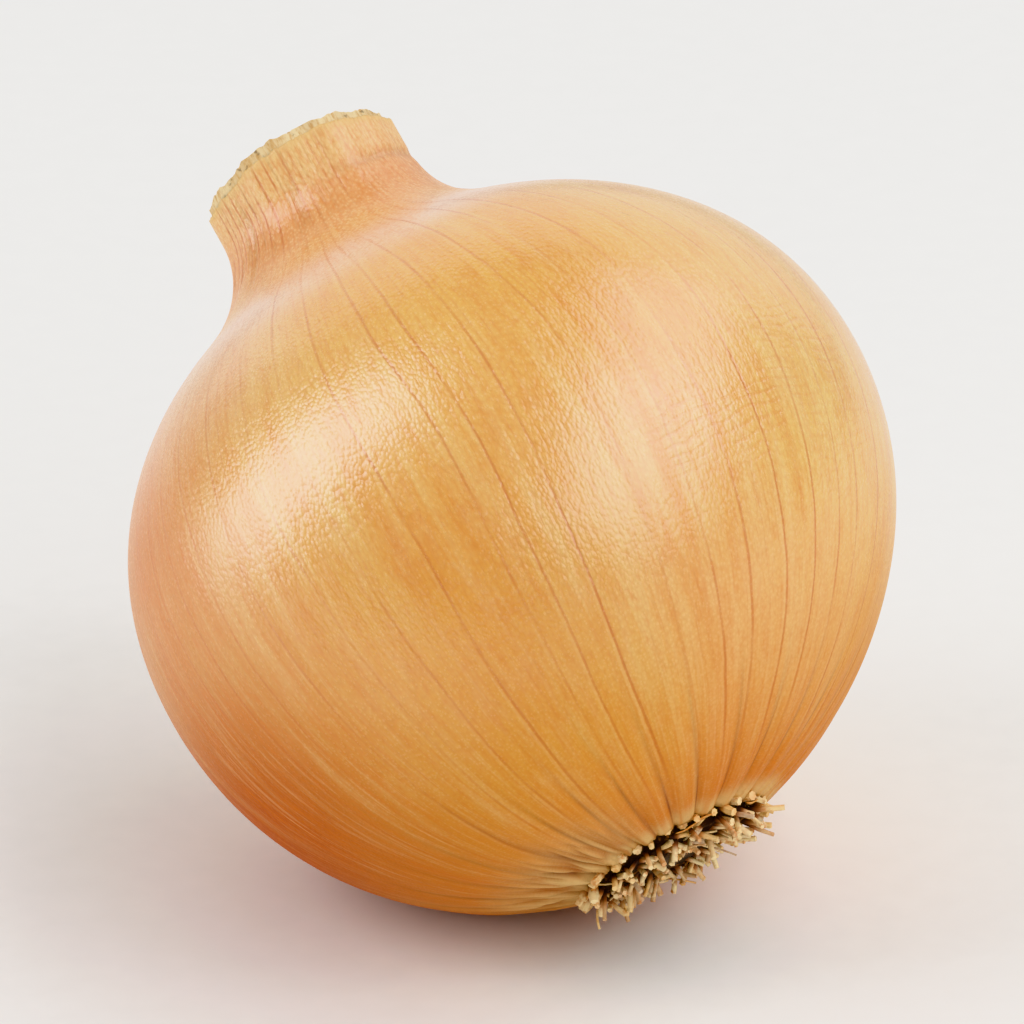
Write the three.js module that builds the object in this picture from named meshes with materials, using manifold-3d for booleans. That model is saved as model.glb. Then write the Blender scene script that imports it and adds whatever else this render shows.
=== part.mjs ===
// A yellow bulb onion, topped and dried, lying on its side with the neck up. It has two pieces: the bulb in
// its papery skin, drawn up into a cut neck, and the corky root plate with its clipped rootlets.
// Units are millimetres and +Z is up. The origin is the middle of the flat spot that the bulb rests on.
import * as THREE from "three";
import { mergeVertices } from "three/addons/utils/BufferGeometryUtils.js";
import Module from "manifold-3d";

const wasm = await Module();
wasm.setup();
const { degToRad, lerp, smoothstep } = THREE.MathUtils;

// Driving dimensions. The bulb's own frame has its axis along Z, the equator at Z = 0 and the neck up.
const EQUATOR_RADIUS = 35;
const ROOT_POLE_DEPTH = 33.4; // from the equator to where the belly's curve would close
const ROOT_RIM_RADIUS = 9; // the skin ends here, round the root plate
const SHOULDER_RADIUS = 17.4; // the shoulder turns hollow here, towards the neck
const SHOULDER_HEIGHT = 26.6;
const NECK_RADIUS = 9.6;
const NECK_WAIST_HEIGHT = 36.4;
const NECK_HEIGHT = 39.4; // from the equator to the cut

// How full the outline's two free curves are: the lengths of their handles, and the slope where they meet.
const EQUATOR_HANDLE = 14.7;
const SHOULDER_HANDLE = 8.8;
const HOLLOW_HANDLE = 4.4;
const NECK_HANDLE = 5.4;
const SHOULDER_SLOPE = degToRad(25);

// What growth adds to the turned shape. A wave goes round the axis, with its height in millimetres.
const BULGE = 1.7; // the girth has grown to one side
const BULGE_HEADING = degToRad(4);
const NECK_OFFSET = 0.5; // the neck stands off the axis, to the same side
const LOBES = [
  { count: 2, height: 0.45, phase: 0.6 },
  { count: 3, height: 0.3, phase: 2.2 },
];
const NECK_FLATTENING = 0.07; // the neck is a little oval
const NECK_OVAL_HEADING = degToRad(60);
const NECK_RIDGES = [
  { count: 7, height: 0.15, phase: 1.0 },
  { count: 13, height: 0.22, phase: 0.4 },
  { count: 20, height: 0.16, phase: 2.1 },
];
const CUT_WAVE = { count: 2, height: 0.45, phase: 3.0 }; // the neck was not cut quite level
const PLEATS = 30; // the skin is gathered towards the root, at uneven spaces
const PLEAT_HEIGHT = 0.24;
const PLEAT_REACH = 0.8; // the pleats fade out at this share of the equator's radius
const PLEAT_DRIFT = [
  { count: 3, height: 0.5, phase: -Math.PI / 2 },
  { count: 5, height: 0.4, phase: 0.4 },
];

// The cut end of the neck: dry leaf sheaths, one inside another, each a groove and a flat-topped ridge.
const SHEATHS = 4;
const HEART_SHARE = 0.5; // the sunken middle is this many sheaths wide
const SHEATH_RISE = 1.3; // the outer sheath stands this much above the skin's edge
const SHEATH_GROOVE = 1.5;
const SHEATH_GROOVE_PLACE = 0.3; // shares of one sheath's width: its groove, and the two edges of its ridge
const SHEATH_RIDGE_PLACES = [0.58, 0.86];
const NECK_HEART_SINK = 1.6;

// The root plate and the socket that it sits in.
const SOCKET_RADIUS = 8.8;
const SOCKET_DEPTH = 1.7;
const PLATE_RADIUS = 8.4;
const PLATE_FACE_RADIUS = 7.1;
const PLATE_GAP = 0.4;
const PLATE_RISE = 0.7; // the plate stands proud of the skin's rim
const PLATE_DOME = 0.3;
const PLATE_SIDES = 40;

// Rings of rootlets, from the rim inwards: tilts from the axis in degrees, and the lengths that stand out.
const ROOTLET_RINGS = [
  { count: 26, ring: 7.4, thick: 1.2, tilt: [56, 70], length: [1.3, 2.2] },
  { count: 24, ring: 6.2, thick: 0.95, tilt: [52, 76], length: [2.2, 3.8] },
  { count: 18, ring: 4.6, thick: 0.9, tilt: [46, 76], length: [2.0, 3.4] },
  { count: 10, ring: 2.8, thick: 0.85, tilt: [40, 72], length: [1.6, 2.8] },
  { count: 4, ring: 1.1, thick: 0.85, tilt: [32, 60], length: [1.2, 2.2] },
];
const ROOTLET_SINK = 1.9; // how far a rootlet goes on into the plate
const ROOTLET_BOW = 0.2; // the most that it is bowed sideways, as a share of its length
const ROOTLET_STRAY = degToRad(38); // the most that it points away from straight outwards
const ROOTLET_JITTER = 0.7; // the most that it has moved round its ring, as a share of the spacing
const ROOTLET_SIDES = 5;
const ROOTLET_STEPS = 3;
const ROOTLET_SEED = 20;

// How it lies: the neck leans from the vertical, towards a heading that is counted from +X to +Y.
const LEAN = degToRad(47);
const NECK_HEADING = degToRad(131);
const FLAT_SPOT_DEPTH = 0.8; // how much of the round belly is pressed flat where it rests
const FLOOR_SIZE = 120;

// Fineness of the bulb's surface: steps round it, and along its belly, shoulder, hollow and neck.
const MERIDIANS = 120;
const OUTLINE_STEPS = [12, 9, 6, 2];
const WELD_DISTANCE = 1e-3; // corners nearer than this become one

const SKIN = new THREE.MeshStandardMaterial({ name: "skin", color: 0xd99a52, roughness: 0.42 });
const ROOT = new THREE.MeshStandardMaterial({ name: "root", color: 0xc4a76c, roughness: 0.9 });

const UP = new THREE.Vector3(0, 0, 1);
const rimHeight = -ROOT_POLE_DEPTH * Math.sqrt(1 - (ROOT_RIM_RADIUS / EQUATOR_RADIUS) ** 2);
const socketFloor = rimHeight + SOCKET_DEPTH;
const plateFace = rimHeight - PLATE_RISE;
const neckDirection = new THREE.Vector3(
  Math.sin(LEAN) * Math.cos(NECK_HEADING),
  Math.sin(LEAN) * Math.sin(NECK_HEADING),
  Math.cos(LEAN),
);
const attitude = new THREE.Quaternion().setFromUnitVectors(UP, neckDirection);

const point = (radius, height) => new THREE.Vector2(radius, height);
const wave = ({ count, height, phase }, angle) => height * Math.cos(count * angle + phase);
const waves = (list, angle) => list.reduce((sum, one) => sum + wave(one, angle), 0);

// A repeatable stream of numbers from 0 to 1.
function seededRandom(seed) {
  let state = seed;
  return () => {
    state = (state + 0x6d2b79f5) | 0;
    let mixed = Math.imul(state ^ (state >>> 15), 1 | state);
    mixed = (mixed + Math.imul(mixed ^ (mixed >>> 7), 61 | mixed)) ^ mixed;
    return ((mixed ^ (mixed >>> 14)) >>> 0) / 2 ** 32;
  };
}

// A closed geometry as a solid that can be cut and joined.
function solidOf(geometry) {
  const bare = geometry.clone().deleteAttribute("normal").deleteAttribute("uv");
  const merged = mergeVertices(bare, WELD_DISTANCE);
  return new wasm.Manifold(
    new wasm.Mesh({
      numProp: 3,
      vertProperties: merged.getAttribute("position").array,
      triVerts: new Uint32Array(merged.index.array),
    }),
  );
}

function geometryOf(solid) {
  const { vertProperties, triVerts } = solid.getMesh();
  const geometry = new THREE.BufferGeometry();
  geometry.setAttribute("position", new THREE.BufferAttribute(vertProperties, 3));
  geometry.setIndex(new THREE.BufferAttribute(triVerts, 1));
  geometry.computeVertexNormals();
  return geometry;
}

// A profile of radius and height, turned about Z.
function turned(profile, sides) {
  return new THREE.LatheGeometry(profile, sides).rotateX(Math.PI / 2);
}

// The skin's outline from the root rim, over the belly and the shoulder, to the cut of the neck.
function skinOutline() {
  const rimAngle = Math.acos(ROOT_RIM_RADIUS / EQUATOR_RADIUS);
  const downhill = point(Math.cos(SHOULDER_SLOPE), -Math.sin(SHOULDER_SLOPE));
  const shoulder = point(SHOULDER_RADIUS, SHOULDER_HEIGHT);
  const outer = shoulder.clone().addScaledVector(downhill, SHOULDER_HANDLE);
  const inner = shoulder.clone().addScaledVector(downhill, -HOLLOW_HANDLE);
  const waist = point(NECK_RADIUS, NECK_WAIST_HEIGHT);
  const outline = new THREE.Path();
  outline.absellipse(0, 0, EQUATOR_RADIUS, ROOT_POLE_DEPTH, -rimAngle, 0);
  outline.bezierCurveTo(EQUATOR_RADIUS, EQUATOR_HANDLE, outer.x, outer.y, shoulder.x, shoulder.y);
  outline.bezierCurveTo(inner.x, inner.y, waist.x, waist.y - NECK_HANDLE, waist.x, waist.y);
  outline.lineTo(NECK_RADIUS, NECK_HEIGHT);
  return outline.curves.flatMap((curve, i) => curve.getPoints(OUTLINE_STEPS[i]).slice(i ? 1 : 0));
}

// Inwards over the cut: a groove and a ridge for each sheath, then the sunken heart.
function cutEndOutline() {
  const width = NECK_RADIUS / (SHEATHS + HEART_SHARE);
  const points = [];
  for (let sheath = 0; sheath < SHEATHS; sheath += 1) {
    const crown = NECK_HEIGHT + SHEATH_RISE * (1 - sheath / SHEATHS);
    const place = (share) => NECK_RADIUS - (sheath + share) * width;
    points.push(point(place(SHEATH_GROOVE_PLACE), crown - SHEATH_GROOVE));
    points.push(...SHEATH_RIDGE_PLACES.map((share) => point(place(share), crown)));
  }
  points.push(point(0, NECK_HEIGHT - NECK_HEART_SINK));
  return points;
}

// Moves a vertex of the turned bulb to where growth has put it. The root socket stays round.
function grow(vertex) {
  const angle = Math.atan2(vertex.y, vertex.x);
  const radius = Math.hypot(vertex.x, vertex.y);
  const girth = radius / EQUATOR_RADIUS;
  const rootward = vertex.z < 0;
  if (rootward && radius < (SOCKET_RADIUS + ROOT_RIM_RADIUS) / 2) return;

  const gathered = rootward ? 1 - smoothstep(girth, ROOT_RIM_RADIUS / EQUATOR_RADIUS, PLEAT_REACH) : 0;
  const pleat = PLEAT_HEIGHT * gathered * Math.cos(PLEATS * angle + waves(PLEAT_DRIFT, angle));
  const neck = smoothstep(vertex.z, SHOULDER_HEIGHT, NECK_WAIST_HEIGHT);
  const cut = smoothstep(vertex.z, NECK_WAIST_HEIGHT, NECK_HEIGHT);
  const ridge = (neck * waves(NECK_RIDGES, angle)) / NECK_RADIUS;
  const flattened = neck * NECK_FLATTENING * Math.cos(angle - NECK_OVAL_HEADING) ** 2;
  const aside = BULGE * girth ** 2 + NECK_OFFSET * neck;

  vertex.multiplyScalar(1 + (waves(LOBES, angle) * girth ** 2 + pleat) / EQUATOR_RADIUS);
  vertex.x = vertex.x * (1 + ridge - flattened) + aside * Math.cos(BULGE_HEADING);
  vertex.y = vertex.y * (1 + ridge - flattened) + aside * Math.sin(BULGE_HEADING);
  vertex.z += (cut * wave(CUT_WAVE, angle) * radius) / NECK_RADIUS;
}

// The bulb with its neck, turned to how it lies.
function bulbSolid() {
  const socket = [point(0, socketFloor), point(SOCKET_RADIUS, socketFloor)];
  const geometry = turned([...socket, ...skinOutline(), ...cutEndOutline()], MERIDIANS);
  const positions = geometry.getAttribute("position");
  const vertex = new THREE.Vector3();
  for (let i = 0; i < positions.count; i += 1) {
    grow(vertex.fromBufferAttribute(positions, i));
    positions.setXYZ(i, vertex.x, vertex.y, vertex.z);
  }
  return solidOf(geometry.applyQuaternion(attitude));
}

// The floor's top is where it presses the lowest part of the bulb flat.
function floorSolid(top) {
  const box = new THREE.BoxGeometry(FLOOR_SIZE, FLOOR_SIZE, FLOOR_SIZE);
  return solidOf(box.translate(0, 0, top - FLOOR_SIZE / 2));
}

function plateSolid() {
  const back = socketFloor - PLATE_GAP;
  const profile = [
    point(0, plateFace - PLATE_DOME),
    point(PLATE_FACE_RADIUS, plateFace),
    point(PLATE_RADIUS, plateFace + PLATE_RISE / 2),
    point(PLATE_RADIUS, back),
    point(0, back),
  ];
  return solidOf(turned(profile, PLATE_SIDES).applyQuaternion(attitude));
}

// A direction in the bulb's frame that points out of the root end, tilted away from the axis.
function outOfRoot(tilt, heading) {
  const across = Math.sin(tilt);
  return new THREE.Vector3(across * Math.cos(heading), across * Math.sin(heading), -Math.cos(tilt));
}

// One rootlet: a short bowed stick from inside the plate, cut off square.
function rootletSolid({ ring, thick, tilt, length }, angle, random) {
  const between = ([low, high]) => lerp(low, high, random());
  const upTo = (most) => lerp(-most, most, random());
  const direction = outOfRoot(degToRad(between(tilt)), angle + upTo(ROOTLET_STRAY));
  const reach = between(length);
  const bow = direction.clone().cross(UP).setLength(upTo(reach * ROOTLET_BOW));
  const foot = new THREE.Vector3(ring * Math.cos(angle), ring * Math.sin(angle), plateFace);
  const start = foot.clone().addScaledVector(direction, -ROOTLET_SINK);
  const middle = foot.clone().addScaledVector(direction, reach / 2).add(bow);
  const tip = foot.clone().addScaledVector(direction, reach);
  const section = new THREE.Shape();
  for (let side = 0; side < ROOTLET_SIDES; side += 1) {
    const around = (side * 2 * Math.PI) / ROOTLET_SIDES;
    const corner = point(Math.cos(around), Math.sin(around)).multiplyScalar(thick / 2);
    if (side === 0) section.moveTo(corner.x, corner.y);
    else section.lineTo(corner.x, corner.y);
  }
  const stick = new THREE.ExtrudeGeometry(section, {
    steps: ROOTLET_STEPS,
    bevelEnabled: false,
    extrudePath: new THREE.QuadraticBezierCurve3(start, middle, tip),
  });
  return solidOf(stick.applyQuaternion(attitude));
}

// The root plate with its rootlets grown into it, as one body. Small voids that crossing rootlets close in
// are filled: of the joined surfaces, only the outer one has a positive volume and is kept.
function rootTuftSolid() {
  const random = seededRandom(ROOTLET_SEED);
  const rootlets = ROOTLET_RINGS.flatMap((row) =>
    Array.from({ length: row.count }, (_, i) => {
      const angle = ((i + ROOTLET_JITTER * random()) * 2 * Math.PI) / row.count;
      return rootletSolid(row, angle, random);
    }),
  );
  const joined = wasm.Manifold.union([plateSolid(), ...rootlets]);
  return joined.decompose().find((surface) => surface.volume() > 0);
}

function named(name, solid, material) {
  const mesh = new THREE.Mesh(geometryOf(solid), material);
  mesh.name = name;
  return mesh;
}

const wholeBulb = bulbSolid();
const floorTop = wholeBulb.boundingBox().min[2] + FLAT_SPOT_DEPTH;
const floor = floorSolid(floorTop);
const flatSpot = wholeBulb.intersect(floor).boundingBox();

const onion = new THREE.Group();
onion.name = "onion";
onion.add(named("bulb", wholeBulb.subtract(floor), SKIN));
onion.add(named("root_tuft", rootTuftSolid(), ROOT));
onion.position.set(
  -(flatSpot.min[0] + flatSpot.max[0]) / 2,
  -(flatSpot.min[1] + flatSpot.max[1]) / 2,
  -floorTop,
);

export default onion;
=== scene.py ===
# %% [markdown]
# # A yellow onion
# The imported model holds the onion's form: a bulb drawn up into a cut neck, and a root plate with
# clipped rootlets. This lesson keeps that form and puts the real surface on it. Each solid is
# replaced by finer pieces that follow the same rules: a skin with folds and veins, dry sheaths in
# the neck, and a mat of rootlets.

# %% Load the frame
import math

import bpy
from mathutils import Matrix, Vector
from mathutils.geometry import interpolate_bezier


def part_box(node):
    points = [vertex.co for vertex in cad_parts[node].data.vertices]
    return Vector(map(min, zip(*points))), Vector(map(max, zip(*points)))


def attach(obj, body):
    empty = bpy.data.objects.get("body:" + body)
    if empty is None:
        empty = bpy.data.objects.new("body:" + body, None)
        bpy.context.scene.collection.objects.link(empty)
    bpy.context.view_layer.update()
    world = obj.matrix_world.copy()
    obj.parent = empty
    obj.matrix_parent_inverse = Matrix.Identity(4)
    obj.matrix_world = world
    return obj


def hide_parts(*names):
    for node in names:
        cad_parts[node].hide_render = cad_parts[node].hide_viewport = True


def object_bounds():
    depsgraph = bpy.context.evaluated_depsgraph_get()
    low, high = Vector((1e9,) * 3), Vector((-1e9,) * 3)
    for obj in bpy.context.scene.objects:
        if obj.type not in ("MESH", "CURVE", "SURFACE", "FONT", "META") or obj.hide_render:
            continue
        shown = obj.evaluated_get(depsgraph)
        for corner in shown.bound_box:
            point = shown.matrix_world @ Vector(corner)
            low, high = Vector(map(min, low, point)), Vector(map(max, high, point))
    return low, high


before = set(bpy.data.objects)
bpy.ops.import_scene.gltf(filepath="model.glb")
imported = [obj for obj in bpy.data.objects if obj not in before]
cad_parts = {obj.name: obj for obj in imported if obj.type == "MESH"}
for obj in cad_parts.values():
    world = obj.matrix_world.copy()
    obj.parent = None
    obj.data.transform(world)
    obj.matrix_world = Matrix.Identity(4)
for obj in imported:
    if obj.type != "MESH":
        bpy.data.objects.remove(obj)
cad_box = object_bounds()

MM = 0.001
print("solids:", sorted(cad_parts))
print("box of the solids in mm:", [[round(v / MM, 1) for v in corner] for corner in cad_box])

# %% [markdown]
# ## Sizes
# An onion grows round an axis, from the root to the neck. It is easiest to draw upright, so every
# piece is made with that axis along Z and the widest girth at Z = 0, and is laid down as the last
# step. The sizes are those of the solids. Angles round the axis are headings, counted from +X
# towards +Y.

# %% Driving sizes
EQUATOR_RADIUS = 35 * MM
ROOT_POLE_DEPTH = 33.4 * MM
ROOT_RIM_RADIUS = 9 * MM
SHOULDER_RADIUS = 17.4 * MM
SHOULDER_HEIGHT = 26.6 * MM
SHOULDER_SLOPE = math.radians(25)
NECK_RADIUS = 9.6 * MM
NECK_WAIST_HEIGHT = 36.4 * MM
NECK_HEIGHT = 39.4 * MM
SOCKET_RADIUS = 8.8 * MM
SOCKET_DEPTH = 1.7 * MM
FLAT_SPOT_DEPTH = 0.8 * MM
RADIUS_IN_MM = EQUATOR_RADIUS / MM

LEAN = math.radians(47)
NECK_HEADING = math.radians(131)
FRONT_HEADING = math.radians(-86.5)
LEFT_HEADING = math.radians(184)
RIGHT_HEADING = math.radians(4)

RIM_HEIGHT = -ROOT_POLE_DEPTH * math.sqrt(1 - (ROOT_RIM_RADIUS / EQUATOR_RADIUS) ** 2)
neck_direction = Vector((
    math.sin(LEAN) * math.cos(NECK_HEADING),
    math.sin(LEAN) * math.sin(NECK_HEADING),
    math.cos(LEAN),
))
attitude = Vector((0, 0, 1)).rotation_difference(neck_direction).to_matrix().to_4x4()
print("root rim at", round(RIM_HEIGHT / MM, 2), "mm, neck cut at", round(NECK_HEIGHT / MM, 2), "mm")

# %% [markdown]
# ## Writing nodes as sums
# Both a finish and a shape can be worked out by nodes, and a tree of Math nodes is hard to read.
# Here a small class stands for a number on its way through a tree, so that `1 - mask * 0.5` adds
# the Math nodes that it needs. Every other node comes from one method, `add`, which sets the node
# up first and then fills its sockets.

# %% Numbers
class Value:
    """An output socket. Arithmetic on it adds Math nodes to its tree."""

    def __init__(self, graph, socket):
        self.graph = graph
        self.socket = socket

    def math(self, operation, *others):
        return self.graph.math(operation, self, *others)

    def __add__(self, other):
        return self.math("ADD", other)

    def __sub__(self, other):
        return self.math("SUBTRACT", other)

    def __rsub__(self, other):
        return self.graph.math("SUBTRACT", other, self)

    def __mul__(self, other):
        return self.math("MULTIPLY", other)

    def __truediv__(self, other):
        return self.math("DIVIDE", other)

    def __rtruediv__(self, other):
        return self.graph.math("DIVIDE", other, self)

    def __pow__(self, other):
        return self.math("POWER", other)

    __radd__ = __add__
    __rmul__ = __mul__

    def sibling(self, name):
        """Another output of the same node."""
        return Value(self.graph, self.socket.node.outputs[name])

    def parts(self):
        """The three numbers of a vector."""
        x = self.graph.add("ShaderNodeSeparateXYZ", {}, {"Vector": self})
        return x, x.sibling("Y"), x.sibling("Z")

    def between(self, low, high):
        """Goes smoothly from 0 at low to 1 at high."""
        limits = {"Value": self, "From Min": low, "From Max": high}
        return self.graph.add("ShaderNodeMapRange", {"interpolation_type": "SMOOTHSTEP"}, limits)

    def band(self, middle, half_width):
        """Is 1 at middle and fades smoothly to 0 at half_width from it."""
        return 1 - (self - middle).math("ABSOLUTE").between(0, half_width)


print("numbers in a tree can be added, multiplied and faded")

# %% Graphs
class Graph:
    """Adds nodes to one node tree."""

    def __init__(self, tree):
        self.tree = tree

    def feed(self, node, sockets):
        """Links or sets a node's inputs, which are given by name or by number."""
        for name, value in sockets.items():
            by_name = (s for s in node.inputs if s.enabled and s.name == name)
            socket = node.inputs[name] if isinstance(name, int) else next(by_name)
            if isinstance(value, Value):
                self.tree.links.new(value.socket, socket)
            else:
                socket.default_value = value
        return node

    def add(self, kind, settings=None, sockets=None, output=None):
        """Adds a node, sets it up, feeds its inputs and gives one of its outputs."""
        node = self.tree.nodes.new(kind)
        for name, value in (settings or {}).items():
            setattr(node, name, value)
        self.feed(node, sockets or {})
        fitting = (s for s in node.outputs if s.enabled and output in (None, s.name))
        return Value(self, next(fitting, None))

    def math(self, operation, *numbers):
        return self.add("ShaderNodeMath", {"operation": operation}, dict(enumerate(numbers)))

    def vector(self, x, y, z):
        return self.add("ShaderNodeCombineXYZ", {}, {"X": x, "Y": y, "Z": z})

    def vector_math(self, operation, *vectors):
        return self.add("ShaderNodeVectorMath", {"operation": operation}, dict(enumerate(vectors)))

    def noise(self, vector, scale=1.0, detail=2.0, roughness=0.5):
        sockets = {"Vector": vector, "Scale": scale, "Detail": detail, "Roughness": roughness}
        return self.add("ShaderNodeTexNoise", {}, sockets)

    def mix(self, factor, first, second, kind="RGBA"):
        sockets = {"Factor": factor, "A": first, "B": second}
        return self.add("ShaderNodeMix", {"data_type": kind}, sockets)


print("a graph adds nodes, and sums, noises and mixes of them")

# %% [markdown]
# ## Shape trees
# A Geometry Nodes tree that makes a piece gets named inputs for its sizes, so that the piece can
# be changed without touching its nodes. These helpers make such a tree, run it once, and keep the
# result as a plain mesh.

# %% Tree helpers
def shape_tree(name, sizes):
    """A Geometry Nodes tree with a named number input for each size. Gives its graph and inputs."""
    tree = bpy.data.node_groups.new(name, "GeometryNodeTree")
    tree.interface.new_socket("Geometry", in_out="INPUT", socket_type="NodeSocketGeometry")
    tree.interface.new_socket("Geometry", in_out="OUTPUT", socket_type="NodeSocketGeometry")
    for label, value in sizes.items():
        kind = "NodeSocketInt" if isinstance(value, int) else "NodeSocketFloat"
        tree.interface.new_socket(label, in_out="INPUT", socket_type=kind)
    graph = Graph(tree)
    start = graph.add("NodeGroupInput")
    return graph, {s.name: Value(graph, s) for s in start.socket.node.outputs if s.name}


def finish_tree(graph, geometry, material):
    """Ends a tree: the instances become real, and the finish is set."""
    real = graph.add("GeometryNodeRealizeInstances", {}, {"Geometry": geometry})
    smooth = graph.add("GeometryNodeSetShadeSmooth", {}, {"Geometry": real})
    dressed = graph.add("GeometryNodeSetMaterial", {}, {"Geometry": smooth, "Material": material})
    graph.add("NodeGroupOutput", {}, {"Geometry": dressed})


def run_tree(graph, sizes, name, mesh=None):
    """Runs a tree once on a mesh and gives an object that holds the plain result."""
    piece = bpy.data.objects.new(name, mesh or bpy.data.meshes.new(name))
    bpy.context.scene.collection.objects.link(piece)
    modifier = piece.modifiers.new("shape", "NODES")
    modifier.node_group = graph.tree
    for item in graph.tree.interface.items_tree:
        if item.in_out == "INPUT" and item.name in sizes:
            modifier[item.identifier] = sizes[item.name]
    depsgraph = bpy.context.evaluated_depsgraph_get()
    made = bpy.data.meshes.new_from_object(
        piece.evaluated_get(depsgraph),
        preserve_all_data_layers=True,
        depsgraph=depsgraph,
    )
    piece.modifiers.remove(modifier)
    piece.data = made
    made.name = name
    print(name, "has", sum(len(p.vertices) - 2 for p in made.polygons), "triangles")
    return piece


def store(graph, geometry, name, value, kind="FLOAT"):
    """Keeps a value on every point, under a name that a finish can read."""
    sockets = {"Geometry": geometry, "Name": name, "Value": value}
    return graph.add("GeometryNodeStoreNamedAttribute", {"data_type": kind}, sockets)


print("tree helpers ready")

# %% [markdown]
# ## The bulb
# A bulb is a turned form that growth has pushed out of true. The outline is drawn once, as an arc
# for the belly and two curves for the shoulder and the hollow under the neck, and turned about
# the axis in mesh code. A Geometry Nodes tree then grows it: it leans to one side, swells in
# lobes, gathers in pleats towards the root and crumples at the neck. The fine mesh follows the
# very rules that shaped the solid.

# %% Outline of the skin
EQUATOR_HANDLE = 14.7 * MM
SHOULDER_HANDLE = 8.8 * MM
HOLLOW_HANDLE = 4.4 * MM
NECK_HANDLE = 5.4 * MM
NECK_WALL = 0.35 * MM
NECK_WELL_DEPTH = 3.0 * MM
MERIDIANS = 420
BELLY_ROWS = 96
SHOULDER_ROWS = 58
HOLLOW_ROWS = 36
NECK_ROWS = 14
WELL_ROWS = 5
CAP_ROWS = 4


def curve(start, handle, other_handle, end, rows):
    """Points along a Bezier curve, without its first point."""
    flat = [Vector((p[0], p[1], 0)) for p in (start, handle, other_handle, end)]
    return [(p.x, p.y) for p in interpolate_bezier(*flat, rows + 1)][1:]


def straight(start, end, rows):
    """Points along a straight line, without its first point."""
    steps = [(i + 1) / rows for i in range(rows)]
    return [(start[0] + (end[0] - start[0]) * t, start[1] + (end[1] - start[1]) * t) for t in steps]


def belly_arc(rows):
    """The belly from the root rim to the equator, as an arc of an ellipse."""
    rim_angle = math.acos(ROOT_RIM_RADIUS / EQUATOR_RADIUS)
    angles = [-rim_angle * (1 - i / rows) for i in range(rows + 1)]
    return [(EQUATOR_RADIUS * math.cos(a), ROOT_POLE_DEPTH * math.sin(a)) for a in angles]


shoulder = (SHOULDER_RADIUS, SHOULDER_HEIGHT)
slope = (math.cos(SHOULDER_SLOPE), -math.sin(SHOULDER_SLOPE))
outer_handle = tuple(s + d * SHOULDER_HANDLE for s, d in zip(shoulder, slope))
inner_handle = tuple(s - d * HOLLOW_HANDLE for s, d in zip(shoulder, slope))
waist = (NECK_RADIUS, NECK_WAIST_HEIGHT)
waist_handle = (NECK_RADIUS, NECK_WAIST_HEIGHT - NECK_HANDLE)
lip = (NECK_RADIUS, NECK_HEIGHT)
inner_lip = (NECK_RADIUS - NECK_WALL, NECK_HEIGHT)
well = (NECK_RADIUS - 2 * NECK_WALL, NECK_HEIGHT - NECK_WELL_DEPTH)
socket_centre = (0, RIM_HEIGHT + SOCKET_DEPTH)
socket_corner = (SOCKET_RADIUS, RIM_HEIGHT + SOCKET_DEPTH)

root_end = [socket_centre] + straight(socket_centre, socket_corner, CAP_ROWS)
root_end += straight(socket_corner, (ROOT_RIM_RADIUS, RIM_HEIGHT), WELL_ROWS)[:-1]
outline = root_end + belly_arc(BELLY_ROWS)
outline += curve(outline[-1], (EQUATOR_RADIUS, EQUATOR_HANDLE), outer_handle, shoulder, SHOULDER_ROWS)
outline += curve(shoulder, inner_handle, waist_handle, waist, HOLLOW_ROWS)
outline += straight(waist, lip, NECK_ROWS)
rim_row = len(root_end)
lip_row = len(outline) - 1
outline += [inner_lip] + straight(inner_lip, well, WELL_ROWS)
outline += straight(well, (0, NECK_HEIGHT - NECK_WELL_DEPTH), CAP_ROWS)
print("outline of", len(outline), "points, skin from row", rim_row, "to row", lip_row)

# %% Turn the outline
def turned(name, outline, meridians, first_row=0):
    """A closed mesh of an outline turned about Z, from pole to pole. It carries the direction
    round the axis from the front heading, the way along the outline from first_row, and the girth."""
    steps = [math.dist(a, b) for a, b in zip(outline, outline[1:])]
    way = [(sum(steps[:i]) - sum(steps[:first_row])) / EQUATOR_RADIUS for i in range(len(outline))]
    headings = [math.tau * i / meridians for i in range(meridians)]
    points = []
    guides = []
    girths = []
    for row, (radius, height) in enumerate(outline):
        pole = row in (0, len(outline) - 1)
        for heading in headings[:1] if pole else headings:
            points.append((radius * math.cos(heading), radius * math.sin(heading), height))
            guides += [math.cos(heading - FRONT_HEADING), math.sin(heading - FRONT_HEADING), way[row]]
            girths.append(radius / EQUATOR_RADIUS)
    faces = []
    last = len(points) - 1
    for i in range(meridians):
        j = (i + 1) % meridians
        faces.append((0, 1 + j, 1 + i))
        faces.append((last, last - meridians + i, last - meridians + j))
        for row in range(len(outline) - 3):
            low = 1 + row * meridians
            high = low + meridians
            faces.append((low + i, low + j, high + j, high + i))
    mesh = bpy.data.meshes.new(name)
    mesh.from_pydata(points, [], faces)
    mesh.attributes.new("meridian", "FLOAT_VECTOR", "POINT").data.foreach_set("vector", guides)
    mesh.attributes.new("girth", "FLOAT", "POINT").data.foreach_set("value", girths)
    return mesh


turned_bulb = turned("bulb_skin", outline, MERIDIANS, rim_row)
skin_steps = zip(outline[rim_row:lip_row], outline[rim_row + 1:lip_row + 1])
SKIN_END = sum(math.dist(a, b) for a, b in skin_steps) / EQUATOR_RADIUS
print("skin runs", round(SKIN_END * RADIUS_IN_MM, 1), "mm from rim to lip")

# %% [markdown]
# ## Colours and finishes
# Colours are read as they look on a screen, from 0 to 255, and Blender works in light, so each is
# converted once. A finish starts as an empty Principled shader, and its patterns read what the
# shape trees stored on the mesh: the direction round the axis, the way along the skin, and how
# deep a fold is.

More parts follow.
